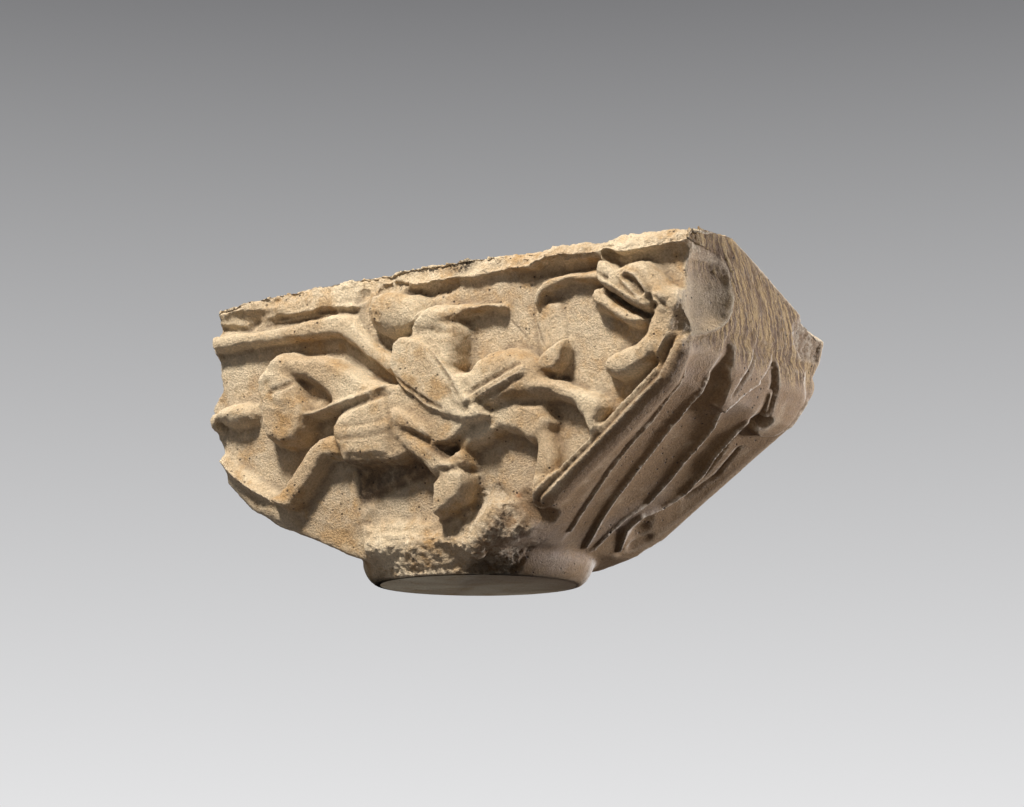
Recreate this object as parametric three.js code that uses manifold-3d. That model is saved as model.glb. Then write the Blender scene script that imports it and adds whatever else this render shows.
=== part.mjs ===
// Carved marble capital of a small round colonnette, worn and broken at both ends.
// Millimetres, +Z up, +X along the long side; the relief panels face -Y and +Y.
// The origin is the centre of the neck's underside.

import * as THREE from "three";
import { ConvexGeometry } from "three/addons/geometries/ConvexGeometry.js";
import { mergeVertices } from "three/addons/utils/BufferGeometryUtils.js";
import Module from "manifold-3d";

const wasm = await Module();
wasm.setup();

// Block
const height = 211;
const reachRight = 231; // neck axis to the upright end face
const reachLeft = 176; // neck axis to the furthest point of the broken end
const panelDepth = 72; // neck axis to the ground of a panel, at the underside
const panelLean = 0.12; // how far a panel leans out for each millimetre of height

// Neck
const neckRadius = 75;
const neckHeight = 13;
const neckFlare = 7; // widening of the neck towards its upper edge
const neckEdge = 2.5; // worn rounding of the lower edge

// Mouldings
const abacusHeight = 18;
const abacusProud = 13;
const rollRadius = 9;
const rollProud = 12;
const filletRadius = 2.6;
const filletProud = 8;

// Carving
const reliefHeight = 20; // the rump of the horse over the ground of its panel
const channelDepth = 8; // the leaf channels of the sloping end
const hollowRadius = 45; // the smooth scar at the near right corner

// The carving is set out in parts of the block's own reach, height and depth: a part across is
// 1/176 of the left reach or 1/231 of the right one, a part up is 1/211 of the height, a part
// back is 1/72 of the panel depth, and heights over a surface are parts of the relief or channel.
const across = (x) => (x < 0 ? (x / 176) * reachLeft : (x / 231) * reachRight);
const up = (z) => (z / 211) * height;
const back = (y) => (y / 72) * panelDepth;
const raised = (out) => (out / 20) * reliefHeight;
const hollowed = (out) => (out / 8) * channelDepth;

// Surfaces that carry carving: a place on the surface and a height over it give a point
const depthAt = (z) => panelDepth + panelLean * z;
const frontPanel = (x, z, out) => new THREE.Vector3(x, -depthAt(z) - out, z);
const backPanel = (x, z, out) => new THREE.Vector3(x, depthAt(z) + out, z);

// A sloping end from its foot beside the neck to its head: a place along the slope, across the
// depth and over the surface gives a point
function slopingEnd(footPlace, headPlace) {
  const foot = new THREE.Vector2(across(footPlace[0]), up(footPlace[1]));
  const head = new THREE.Vector2(across(headPlace[0]), up(headPlace[1]));
  const along = head.clone().sub(foot).normalize();
  const side = Math.sign(along.x);
  const outward = new THREE.Vector2(side * along.y, -side * along.x);
  const drawn = Math.hypot(headPlace[0] - footPlace[0], headPlace[1] - footPlace[1]);
  const stretch = head.distanceTo(foot) / drawn;
  return (s, y, out) => {
    const point = foot.clone()
      .addScaledVector(along, s * stretch)
      .addScaledVector(outward, hollowed(out));
    return new THREE.Vector3(point.x, back(y), point.y);
  };
}
const rightSlope = slopingEnd([98, 31], [204, 110]);
const leftSlope = slopingEnd([-62, 18], [-147, 61]);

// A closed geometry as a solid that can be joined and cut
function solidFrom(geometry) {
  geometry.deleteAttribute("normal");
  geometry.deleteAttribute("uv");
  const merged = mergeVertices(geometry, 1e-4);
  return new wasm.Manifold(new wasm.Mesh({
    numProp: 3,
    vertProperties: new Float32Array(merged.attributes.position.array),
    triVerts: new Uint32Array(merged.index.array),
  }));
}

// A solid back as a geometry
function geometryFrom(solid) {
  const mesh = solid.getMesh();
  const geometry = new THREE.BufferGeometry();
  geometry.setAttribute("position", new THREE.BufferAttribute(new Float32Array(mesh.vertProperties), 3));
  geometry.setIndex(new THREE.BufferAttribute(new Uint32Array(mesh.triVerts), 1));
  geometry.computeVertexNormals();
  return geometry;
}

// An outline seen from the front, across and up, as a slab from one depth to another
function slabAcross(outline, fromY, toY) {
  const shape = new THREE.Shape(outline.map(([x, z]) => new THREE.Vector2(x, z)));
  const slab = new THREE.ExtrudeGeometry(shape, { depth: toY - fromY, bevelEnabled: false });
  slab.rotateX(Math.PI / 2);
  slab.translate(0, toY, 0);
  return solidFrom(slab);
}

// An outline seen from above as a slab from one height to another
function slabUp(outline, fromZ, toZ) {
  const shape = new THREE.Shape(outline.map(([x, y]) => new THREE.Vector2(x, y)));
  const slab = new THREE.ExtrudeGeometry(shape, { depth: toZ - fromZ, bevelEnabled: false });
  slab.translate(0, 0, fromZ);
  return solidFrom(slab);
}

// Corner points of a unit ball, coarse or fine
function ballCorners(detail) {
  const ball = new THREE.IcosahedronGeometry(1, detail);
  ball.deleteAttribute("normal");
  ball.deleteAttribute("uv");
  const corners = mergeVertices(ball, 1e-4).attributes.position;
  return Array.from({ length: corners.count }, (_, i) => new THREE.Vector3().fromBufferAttribute(corners, i));
}
const smallBall = ballCorners(1);
const largeBall = ballCorners(2);
const smallBallLimit = 17; // half width up to which a form takes the coarse ball

// A rounded form lying on a surface: its centre, half width and height over the surface
function formPoints(surface, [a, b, halfWidth, out]) {
  const ball = halfWidth > smallBallLimit ? largeBall : smallBall;
  return ball.map((p) => surface(a + p.x * halfWidth, b + p.y * halfWidth, p.z * out));
}

// A limb is a row of rounded forms, each drawn together with the next
function limb(surface, forms) {
  const links = forms.slice(1).map((form, i) => [forms[i], form]);
  return links.map((pair) => solidFrom(new ConvexGeometry(
    pair.flatMap((form) => formPoints(surface, form)),
  )));
}

// Forms that are drawn together all at once, for a shield or a broad mass
function mass(surface, forms) {
  return [solidFrom(new ConvexGeometry(forms.flatMap((form) => formPoints(surface, form))))];
}

// Forms on a panel at the size of this block
const onPanel = (forms) => forms.map(([x, z, r, out]) => [across(x), up(z), up(r), raised(out)]);
const panelLimb = (surface, forms) => limb(surface, onPanel(forms));
const panelMass = (surface, forms) => mass(surface, onPanel(forms));

// The block seen from the front, from the neck around the right end, the top and the broken left end
function blockOutline() {
  const sides = [
    [-44, 12], [56, 13], [82, 20], [98, 31], [204, 110], [218, 132], [227, 151], [231, 168], [231, 211],
    [-162, 211], [-165, 181], [-167, 163], [-164, 144], [-176, 132], [-172, 107], [-164, 90],
    [-159, 76], [-150, 63], [-121, 42], [-80, 26], [-62, 18],
  ];
  return sides.map(([x, z]) => [across(x), up(z)]);
}

// The block between its two leaning panels
function block() {
  const reach = depthAt(height) + abacusProud;
  const lean = panelLean * height;
  const ends = [
    [-panelDepth, 0], [panelDepth, 0], [panelDepth + lean, height], [-panelDepth - lean, height],
  ];
  const section = new THREE.Shape(ends.map(([y, z]) => new THREE.Vector2(y, z)));
  const length = reachLeft + reachRight + 2 * reach;
  const wedge = new THREE.ExtrudeGeometry(section, { depth: length, bevelEnabled: false });
  wedge.rotateX(Math.PI / 2);
  wedge.rotateZ(Math.PI / 2);
  wedge.translate(-reachLeft - reach, 0, 0);
  return slabAcross(blockOutline(), -reach, reach).intersect(solidFrom(wedge));
}

// The round neck, worn at its lower edge and carried up into the block
function neck() {
  const flared = neckRadius + neckFlare;
  const profile = [
    [0, 0],
    [neckRadius - neckEdge, 0],
    [neckRadius - neckEdge / 4, neckEdge / 2],
    [neckRadius + neckFlare * 0.4, neckHeight * 0.35],
    [flared, neckHeight],
    [flared - neckFlare * 0.2, neckHeight * 1.5],
    [flared - neckFlare, neckHeight * 2],
    [neckRadius * 0.9, neckHeight * 2.4],
    [0, neckHeight * 2.4],
  ];
  return solidFrom(new THREE.LatheGeometry(profile.map(([r, z]) => new THREE.Vector2(r, z)), 40)
    .rotateX(Math.PI / 2));
}

// The abacus in plan: whole at its corners and broken back along the middle of the front.
// Its upper edges are worn off to a slope.
function abacus() {
  const ground = depthAt(height - abacusHeight);
  const proud = ground + abacusProud * 1.05;
  const worn = abacusHeight * 0.5;
  const half = [[proud, height - abacusHeight], [proud, height - worn], [proud - worn, height]];
  const section = new THREE.Shape([
    ...half.map(([y, z]) => new THREE.Vector2(y, z)),
    ...half.reverse().map(([y, z]) => new THREE.Vector2(-y, z)),
  ]);
  const length = reachLeft + reachRight;
  const wornBar = new THREE.ExtrudeGeometry(section, { depth: length, bevelEnabled: false });
  wornBar.rotateX(Math.PI / 2);
  wornBar.rotateZ(Math.PI / 2);
  wornBar.translate(-reachLeft, 0, 0);
  const front = [
    [-163, 0.45], [-104, 0.5], [-92, 0.2], [-62, 0.3], [-30, 0.1], [8, 0.5], [44, 0.4], [80, 0.6],
    [104, 0.95], [170, 1], [222, 0.9],
  ];
  const back = [[222, 0.4], [60, 0.4], [20, 0.1], [-40, 0.5], [-110, 0.4], [-163, 0.1]];
  const outline = [
    ...front.map(([x, share]) => [across(x), -ground - abacusProud * share]),
    ...back.map(([x, share]) => [across(x), ground + abacusProud * share]),
  ];
  return slabUp(outline, height - abacusHeight, height).intersect(solidFrom(wornBar));
}

// Rolls along the edges of the ends, with a fillet between each roll and its panel
function mouldings(surface) {
  const edge = [[100, 42], [160, 86], [200, 116], [213, 136]];
  const fillet = [[92, 46], [193, 120], [208, 138], [214, 146]];
  const worn = [[-156, 78], [-138, 60], [-108, 47]];
  const ridge = [[-160, 90], [-128, 67], [-64, 42]];
  const roll = (places, radius, proud) => limb(surface, places.map(([x, z]) => (
    [across(x), up(z), radius, proud]
  )));
  return [
    ...roll(edge, rollRadius, rollProud),
    ...roll(fillet, filletRadius, filletProud),
    ...roll(worn, rollRadius * 0.8, rollProud * 0.4),
    ...roll(ridge, filletRadius * 1.5, filletProud * 0.8),
  ];
}

// The horse gallops to the left: across, up, half width and relief of each form
function horse() {
  const barrel = [[-22, 92, 31, 20], [14, 96, 26, 18], [80, 118, 26, 20]];
  const rump = [[80, 118, 26, 20], [95, 119, 24, 19]];
  const neckAndCrest = [[-90, 143, 15, 14], [-68, 134, 22, 15], [-45, 129, 24, 17], [-24, 108, 26, 18]];
  const head = [[-101, 140, 17, 16], [-100, 119, 14, 16], [-98, 107, 12, 14]];
  const foreleg = [[-40, 93, 14, 15], [-68, 89, 10, 14], [-86, 73, 8.5, 12], [-104, 57, 7.5, 10]];
  const secondForeleg = [[-40, 84, 13, 12], [-50, 60, 8, 6], [-57, 42, 7, 4]];
  const hindLeg = [[92, 114, 17, 18], [118, 113, 9, 16], [134, 106, 8, 14], [148, 97, 8.5, 13]];
  const farThigh = [[58, 92, 17, 11], [90, 97, 13, 12], [105, 84, 10, 12]];
  const farShank = [[105, 84, 10, 12], [108, 64, 8.5, 11], [105, 47, 9, 11]];
  const tailStub = [[112, 132, 8, 14], [127, 143, 3.5, 11], [121, 126, 5, 10]];
  return [
    ...[barrel, rump, neckAndCrest, head, foreleg, secondForeleg, hindLeg, farThigh, farShank]
      .flatMap((forms) => panelLimb(frontPanel, forms)),
    ...panelMass(frontPanel, tailStub),
  ];
}

// The reins, the breast strap and the saddle strap
function harness() {
  const straps = [
    [[-56, 117, 7, 17], [-30, 122, 7, 20], [-6, 127, 7, 20]],
    [[-46, 97, 5, 18], [-24, 99, 5, 22], [-4, 100, 5, 22]],
    [[60, 111, 7, 20], [80, 118, 7, 22], [104, 125, 6, 19]],
  ];
  return straps.flatMap((forms) => panelLimb(frontPanel, forms));
}

// The rider, with a kite shield, one arm flung back and the lance broken off short
function rider() {
  const head = [[-17, 184, 10, 16], [-6, 176, 17, 20]];
  const shoulders = [[4, 168, 12, 16], [24, 160, 13, 18]];
  const torso = [[24, 158, 14, 17], [31, 149, 18, 17], [28, 122, 18, 17]];
  const arm = [[26, 167, 9, 15], [54, 171, 6, 14], [79, 171, 5, 12]];
  const shield = [[8, 146, 11, 22], [7, 136, 10, 22], [27, 112, 11, 24], [49, 108, 10, 23], [34, 136, 11, 23]];
  const boss = [[12, 142, 8, 25], [12, 134, 8, 25], [30, 117, 8, 26], [44, 112, 6, 25], [30, 132, 9, 25]];
  const thigh = [[-2, 106, 12, 21], [16, 98, 12, 23]];
  const shin = [[-1, 97, 11, 21], [13, 81, 11, 21], [28, 71, 10, 19]];
  const heel = [[28, 70, 9, 18], [41, 72, 8, 17]];
  const foot = [[31, 63, 12, 19], [41, 58, 9, 17], [23, 42, 8, 16]];
  const lance = [[-157, 175, 7.5, 11], [-36, 174, 7.5, 12]];
  const lanceEnd = [[-36, 168, 7, 11], [-24, 156, 5, 11], [-6, 138, 5, 15]];
  const shelf = [[-160, 172, 11, 6], [-104, 180, 12, 8], [-40, 180, 12, 9]];
  return [
    ...[head, shoulders, torso, arm, thigh, shin, heel, lance, lanceEnd, shelf]
      .flatMap((forms) => panelLimb(frontPanel, forms)),
    ...[shield, boss, foot].flatMap((forms) => panelMass(frontPanel, forms)),
  ];
}

// The beast in the upper corner, holding the tail of the horse, and the ball end on the far left
function beast() {
  const ear = [[160, 194, 3, 9], [162, 186, 5, 12], [170, 181, 6, 13]];
  const lip = [[163, 178, 5, 14], [178, 167, 6, 16], [194, 156, 5, 15]];
  const jaw = [[156, 168, 6, 11], [168, 160, 6.5, 13], [184, 151, 7, 14], [195, 146, 7, 13]];
  const skull = [[180, 177, 11, 15], [192, 174, 13, 16], [204, 160, 12, 14], [220, 154, 8, 12]];
  const eye = [[183, 171, 6, 18], [190, 166, 6, 18]];
  const earStub = [[200, 161, 5, 17], [209, 159, 6, 17]];
  const throat = [[204, 152, 12, 14], [204, 139, 14, 13]];
  const paw = [[166, 123, 9.5, 13], [180, 125, 10.5, 15], [198, 136, 13, 14]];
  const heldTail = [[106, 164, 5, 4], [111, 176, 5, 7], [123, 182, 5, 8], [156, 183, 5, 10]];
  const tailScar = [[112, 152, 9, 3], [113, 169, 9, 4]];
  const ballEnd = [[-165, 119, 9.5, 13], [-141, 119, 10, 14]];
  return [ear, lip, jaw, skull, eye, earStub, throat, paw, heldTail, tailScar, ballEnd]
    .flatMap((forms) => panelLimb(frontPanel, forms));
}

// The ledge left over the neck, and the rough patch right of it
function footLedge() {
  const ledge = [[-34, 22, 11, 11], [-2, 20, 13, 12], [28, 20, 12, 11]];
  const patch = [[44, 21, 14, 11], [62, 33, 14, 10], [68, 43, 10, 8]];
  return [ledge, patch].flatMap((forms) => panelLimb(frontPanel, forms));
}

// The smooth cove between the rough patch and the foot of the leaf
const footCove = () => panelLimb(frontPanel, [[91, 41, 5, 3], [101, 28, 12, 9], [98, 17, 11, 12]]);

// Worn foliage of the back panel: a palmette between two curled half leaves
function backFoliage() {
  const root = [28, 52];
  const lobes = [-2, -1, 0, 1, 2].map((k) => {
    const turn = k * 0.62;
    const place = (reach, bend, r, out) => [
      root[0] + reach * Math.sin(turn + bend * k),
      root[1] + reach * Math.cos(turn + bend * k),
      r,
      out,
    ];
    return [place(6, 0, 8, 7), place(78, 0.1, 13, 11)];
  });
  const stem = [[24, 28, 8, 8], [28, 52, 9, 9]];
  const rightLeaf = [[80, 52, 8, 7], [142, 94, 13, 9], [176, 148, 12, 11], [158, 166, 8, 9]];
  const leftLeaf = [[-34, 50, 8, 6], [-104, 84, 14, 8], [-130, 140, 13, 9], [-112, 160, 8, 7]];
  return [...lobes, stem, rightLeaf, leftLeaf].flatMap((forms) => panelLimb(backPanel, forms));
}

// Rounded lobes at the foot of the great leaf, and its curled tips
function leafLobes() {
  const forms = [
    [[12, 50, 13, 6], [-8, 50, 12, 6]],
    [[8, 12, 9, 5], [-10, 15, 8, 5]],
    [[152, -8, 13, 4], [140, -7, 11, 7], [127, -14, 6, 6]],
    [[157, 24, 8, 3], [144, 34, 8, 6], [131, 44, 6, 6]],
    [[118, 54, 5, 5], [118, 70, 6, 6], [128, 82, 6, 5]],
  ];
  return forms.flatMap((rows) => limb(rightSlope, rows));
}

// Channels of the great leaf, which meet in sharp ribs, and the drilled eye between its tips
function leafChannels() {
  const channels = [
    [[150, -66, 15, 14], [100, -56, 13, 9], [60, -46, 14, 9], [20, -31, 13, 8], [-6, -16, 9, 6]],
    [[148, -36, 14, 14], [118, -33, 15, 10], [92, -19, 21, 11], [58, -7, 21, 10], [30, -2, 15, 8]],
    [[114, 19, 13, 8], [78, 29, 16, 9], [48, 34, 15, 8], [34, 33, 10, 6]],
    [[106, 60, 15, 9], [74, 67, 16, 8], [44, 69, 14, 6]],
    [[124, 46, 7, 14], [127, 52, 7, 14]],
  ];
  return channels.flatMap((rows) => limb(rightSlope, rows));
}

// The same leaf on the left end, of which only the foot is left
function leftChannels() {
  const channels = [-56, -28, 0, 28, 56].map((y) => (
    [[12, y * 0.6, 5, 3], [50, y, 9, 6], [88, y * 1.15, 10, 6]]
  ));
  return channels.flatMap((rows) => limb(leftSlope, rows));
}

// A break as a wedge of corner points, cut away whole
const breakAway = (corners) => solidFrom(new ConvexGeometry(corners.map((p) => new THREE.Vector3(...p))));

// Scars and breaks: the hollow at the near right corner, the torn top of the end face,
// the worn top at the left, and the chipped corner at the back
function breaks() {
  const nearEdge = depthAt(height) + abacusProud;
  const clear = channelDepth * 2.5; // how far a cut runs on past the stone
  const right = reachRight + clear;
  const left = -reachLeft - clear;
  const behind = nearEdge + clear;
  const over = height + clear;
  const hollow = solidFrom(new THREE.IcosahedronGeometry(hollowRadius, 2)
    .translate(reachRight + hollowRadius * 0.64, hollowRadius * 0.55 - nearEdge, up(172)));
  const tornTop = breakAway([
    [right, back(-40), up(206)], [right, back(20), up(184)], [right, back(66), up(162)],
    [right, behind, up(152)], [across(171), behind, up(184)], [across(111), behind, up(212)],
    [across(227), back(-56), up(212)], [right, back(-56), over], [right, behind, over],
    [across(111), behind, over],
  ]);
  const wornTop = breakAway([
    [across(-30), -behind, up(211.6)], [left, -behind, up(200)], [left, behind, up(202)],
    [across(-80), behind, up(211.6)], [across(-30), -behind, over], [left, -behind, over],
    [left, behind, over], [across(-80), behind, over],
  ]);
  const backCorner = breakAway([
    [left, back(30), up(40)], [across(-100), behind, up(40)], [left, behind, up(40)],
    [left, back(46), over], [across(-124), behind, over], [left, behind, over],
  ]);
  return [hollow, tornTop, wornTop, backCorner];
}

// The whole stone
function capital() {
  const raisedForms = [
    neck(), abacus(), ...mouldings(frontPanel), ...mouldings(backPanel), ...horse(), ...harness(),
    ...rider(), ...beast(), ...footLedge(), ...backFoliage(),
  ];
  const hollows = [...footCove(), ...leafChannels(), ...leftChannels(), ...breaks()];
  const stone = wasm.Manifold.union([block(), ...raisedForms])
    .subtract(wasm.Manifold.union(hollows))
    .add(wasm.Manifold.union(leafLobes()));
  return geometryFrom(stone);
}

// Buff weathered marble
const marble = new THREE.MeshStandardMaterial({ color: 0xcdb48e, roughness: 0.82, metalness: 0 });
const stoneMesh = new THREE.Mesh(capital(), marble);
stoneMesh.name = "capital";

const part = new THREE.Group();
part.add(stoneMesh);

export default part;
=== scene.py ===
import bpy
import bmesh
import math
import numpy as np
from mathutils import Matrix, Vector


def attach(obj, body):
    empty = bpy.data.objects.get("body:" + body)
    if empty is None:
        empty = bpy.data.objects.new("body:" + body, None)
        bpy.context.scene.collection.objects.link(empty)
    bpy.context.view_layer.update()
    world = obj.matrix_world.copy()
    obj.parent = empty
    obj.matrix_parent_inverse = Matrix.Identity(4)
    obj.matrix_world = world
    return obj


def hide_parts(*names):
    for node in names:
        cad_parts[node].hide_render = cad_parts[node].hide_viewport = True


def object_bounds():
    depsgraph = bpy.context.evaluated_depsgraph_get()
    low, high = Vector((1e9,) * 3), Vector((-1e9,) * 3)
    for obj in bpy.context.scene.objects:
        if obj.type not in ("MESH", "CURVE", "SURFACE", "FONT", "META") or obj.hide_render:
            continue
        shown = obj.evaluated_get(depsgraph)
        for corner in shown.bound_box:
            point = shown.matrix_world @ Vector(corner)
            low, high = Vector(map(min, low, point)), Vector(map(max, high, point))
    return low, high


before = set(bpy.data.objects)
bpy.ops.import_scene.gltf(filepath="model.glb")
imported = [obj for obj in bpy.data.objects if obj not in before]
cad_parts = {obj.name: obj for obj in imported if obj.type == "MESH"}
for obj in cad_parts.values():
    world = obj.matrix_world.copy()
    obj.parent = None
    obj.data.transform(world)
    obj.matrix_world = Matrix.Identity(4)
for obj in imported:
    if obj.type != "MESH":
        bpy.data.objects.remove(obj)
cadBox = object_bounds()
mm = 0.001
print("frame loaded")


def linear(code):
    # sRGB hex to the linear colour that the nodes take
    parts = [int(code[i:i + 2], 16) / 255 for i in (1, 3, 5)]
    return tuple(c / 12.92 if c <= 0.04045 else ((c + 0.055) / 1.055) ** 2.4 for c in parts) + (1,)


def addNode(tree, kind, at, inputs=None, **settings):
    node = tree.nodes.new(kind)
    node.location = at
    for name, value in settings.items():
        setattr(node, name, value)
    for name, value in (inputs or {}).items():
        if isinstance(value, bpy.types.NodeSocket):
            tree.links.new(value, node.inputs[name])
        else:
            node.inputs[name].default_value = value
    return node


def inScene(name, data):
    holder = bpy.data.objects.new(name, data)
    bpy.context.scene.collection.objects.link(holder)
    return holder


# camera: a low viewpoint, looking slightly up at the relief and the near right corner
view = {"lens": 77.34, "sensor": 36, "place": (0.8393, -1.2984, -0.1641), "tilt": 100.8, "turn": 32.0,
        "nearest": 0.02, "farthest": 60}


def placeCamera():
    data = bpy.data.cameras.new("camera")
    data.lens = view["lens"]
    data.sensor_width = view["sensor"]
    data.clip_start = view["nearest"]
    data.clip_end = view["farthest"]
    camera = inScene("camera", data)
    camera.location = view["place"]
    camera.rotation_euler = (math.radians(view["tilt"]), 0, math.radians(view["turn"]))
    bpy.context.scene.camera = camera


# studio: a key high over the relief, a cool light from behind the sloping end, a weak front fill;
# each has its place, size, power and colour
studio = {
    "key": ((0.05, -1.4, 1.6), 0.26, 80, "#FFF8F0"),
    "rim": ((1.25, 1.05, 0.08), 0.25, 42, "#F0F3FF"),
    "fill": ((-0.3, -2.2, 0.05), 1.0, 2, "#FFFAF2"),
}
lightTarget = (0.02, 0, 0.11)


def hangLights():
    for name, (place, size, power, colour) in studio.items():
        light = bpy.data.lights.new(name, "AREA")
        light.size = size
        light.energy = power
        light.color = linear(colour)[:3]
        holder = inScene(name, light)
        holder.location = place
        holder.rotation_euler = (Vector(lightTarget) - Vector(place)).to_track_quat("-Z", "Y").to_euler()


# a grey that darkens upwards; the room gives the stone less light than the backdrop shows
backdrop = {"low": "#E4E4E5", "high": "#78787A", "rise": 0.37, "room": "#DADCE2", "roomLight": 0.26}


def hangBackdrop():
    world = bpy.data.worlds.new("studio grey")
    bpy.context.scene.world = world
    world.use_nodes = True
    tree = world.node_tree
    tree.nodes.clear()
    direction = addNode(tree, "ShaderNodeTexCoord", (-900, 0))
    height = addNode(tree, "ShaderNodeSeparateXYZ", (-700, 0), {"Vector": direction.outputs["Generated"]})
    rise = addNode(tree, "ShaderNodeMapRange", (-500, 0),
                   {"Value": height.outputs["Z"], "From Max": backdrop["rise"]})
    greys = addNode(tree, "ShaderNodeValToRGB", (-300, 0), {"Fac": rise.outputs["Result"]})
    greys.color_ramp.elements[0].color = linear(backdrop["low"])
    greys.color_ramp.elements[1].color = linear(backdrop["high"])
    shown = addNode(tree, "ShaderNodeBackground", (0, 100), {"Color": greys.outputs["Color"]})
    room = addNode(tree, "ShaderNodeBackground", (0, -100),
                   {"Color": linear(backdrop["room"]), "Strength": backdrop["roomLight"]})
    seen = addNode(tree, "ShaderNodeLightPath", (0, 400))
    either = addNode(tree, "ShaderNodeMixShader", (200, 0), {
        "Fac": seen.outputs["Is Camera Ray"], 1: room.outputs["Background"], 2: shown.outputs["Background"]})
    addNode(tree, "ShaderNodeOutputWorld", (400, 0), {"Surface": either.outputs["Shader"]})
    bpy.context.scene.view_settings.view_transform = "Standard"


# grey floor, open from below for a low camera, with a round opening under the neck where nothing shows
floorSize = {"reach": 7.0, "opening": 0.069, "sides": 96, "grey": "#77767A", "roughness": 0.9}


def floorPaint():
    # matt paint on the upper side only
    material = bpy.data.materials.new("grey floor paint")
    material.use_nodes = True
    tree = material.node_tree
    tree.nodes.clear()
    side = addNode(tree, "ShaderNodeNewGeometry", (-600, 200))
    matt = addNode(tree, "ShaderNodeBsdfDiffuse", (-400, 0),
                   {"Color": linear(floorSize["grey"]), "Roughness": floorSize["roughness"]})
    clear = addNode(tree, "ShaderNodeBsdfTransparent", (-400, -150))
    blend = addNode(tree, "ShaderNodeMixShader", (-200, 0), {
        "Fac": side.outputs["Backfacing"], 1: matt.outputs["BSDF"], 2: clear.outputs["BSDF"]})
    addNode(tree, "ShaderNodeOutputMaterial", (0, 0), {"Surface": blend.outputs["Shader"]})
    return material


def layFloor():
    count = floorSize["sides"]
    turns = [2 * math.pi * i / count for i in range(count)]
    corners = [(math.cos(turn) * radius, math.sin(turn) * radius, 0)
               for radius in (floorSize["opening"], floorSize["reach"]) for turn in turns]
    faces = [(i, count + i, count + (i + 1) % count, (i + 1) % count) for i in range(count)]
    mesh = bpy.data.meshes.new("floor")
    mesh.from_pydata(corners, [], faces)
    mesh.materials.append(floorPaint())
    return inScene("floor", mesh)


placeCamera()
hangLights()
hangBackdrop()
floor = layFloor()
print("studio ready")


# sizes of the block in millimetres, as the solid has them
block = {"depth": 72.0, "lean": 0.12, "right": 231.0, "foot": (98.0, 31.0), "head": (204.0, 110.0)}
slopeRun = np.array(block["head"]) - np.array(block["foot"])
slopeRun /= np.hypot(*slopeRun)
slopeOut = np.array([slopeRun[1], -slopeRun[0]])

# how far a normal has to turn before its point counts as front or slope, and where these surfaces start
facing = {"front": 0.35, "frontStart": 0.3, "frontBefore": -45, "slope": 0.4, "slopeFrom": 60}
pull = 0.5  # how far one round of smoothing draws a point to its neighbours


class Clay:
    # the stone's points in millimetres, with the surfaces that carving is set out on
    def __init__(self, mesh):
        self.mesh = mesh
        count = len(mesh.vertices)
        flat = np.empty(count * 3, np.float32)
        mesh.vertices.foreach_get("co", flat)
        self.points = flat.reshape(-1, 3).astype(np.float64) / mm
        edges = np.empty(len(mesh.edges) * 2, np.int32)
        mesh.edges.foreach_get("vertices", edges)
        self.edges = edges.reshape(-1, 2)
        self.valence = np.maximum(np.bincount(self.edges.ravel(), minlength=count), 1).astype(np.float64)
        self.readNormals()

    def readNormals(self):
        flat = np.empty(len(self.points) * 3, np.float32)
        self.mesh.vertices.foreach_set("co", (self.points * mm).astype(np.float32).ravel())
        self.mesh.update()
        self.mesh.vertices.foreach_get("normal", flat)
        self.normals = flat.reshape(-1, 3).astype(np.float64)

    def averaged(self, values, rounds, weight=1.0):
        # neighbouring values drawn together, round after round
        a, b = self.edges.T
        columns = np.atleast_2d(values.astype(np.float64).T).copy()
        for _ in range(rounds):
            for column in columns:
                mean = np.bincount(a, column[b], len(column)) + np.bincount(b, column[a], len(column))
                column += (mean / self.valence - column) * (pull * weight)
        return columns.T if values.ndim == 2 else columns[0]

    def soften(self, rounds, weight=1.0):
        self.points = self.averaged(self.points, rounds, weight)
        self.readNormals()

    def panel(self):
        # front panel: across, up, height over the ground
        x, y, z = self.points.T
        return x, z, -y - (block["depth"] + block["lean"] * z)

    def setPanel(self, out, weight):
        old = self.panel()[2]
        self.points[:, 1] -= (out - old) * weight
        self.readNormals()

    def facingFront(self):
        turned = np.clip(facing["frontStart"] - self.normals[:, 1] / facing["front"], 0, 1)
        return turned * (self.points[:, 1] < facing["frontBefore"])

    def slope(self):
        # right slope: along from the foot, across, height over the slope
        dx, dz = self.points[:, 0] - block["foot"][0], self.points[:, 2] - block["foot"][1]
        return dx * slopeRun[0] + dz * slopeRun[1], self.points[:, 1], dx * slopeOut[0] + dz * slopeOut[1]

    def setSlope(self, out, weight):
        move = (out - self.slope()[2]) * weight
        self.points[:, 0] += move * slopeOut[0]
        self.points[:, 2] += move * slopeOut[1]
        self.readNormals()

    def facingSlope(self):
        lean = self.normals[:, 0] * slopeOut[0] + self.normals[:, 2] * slopeOut[1]
        return np.clip(lean / facing["slope"], 0, 1) * (self.points[:, 0] > facing["slopeFrom"])


def spread(value, low, high):
    t = np.clip((value - low) / (high - low), 0, 1)
    return t * t * (3 - 2 * t)


def falling(value, full, end):
    return spread(-value, -end, -full)


def dome(q):
    return (1 - q ** 2.4) ** 0.5


def swell(q):
    return (1 - q * q) ** 1.5


def arris(q):
    return (1 - q) ** 1.3


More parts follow.
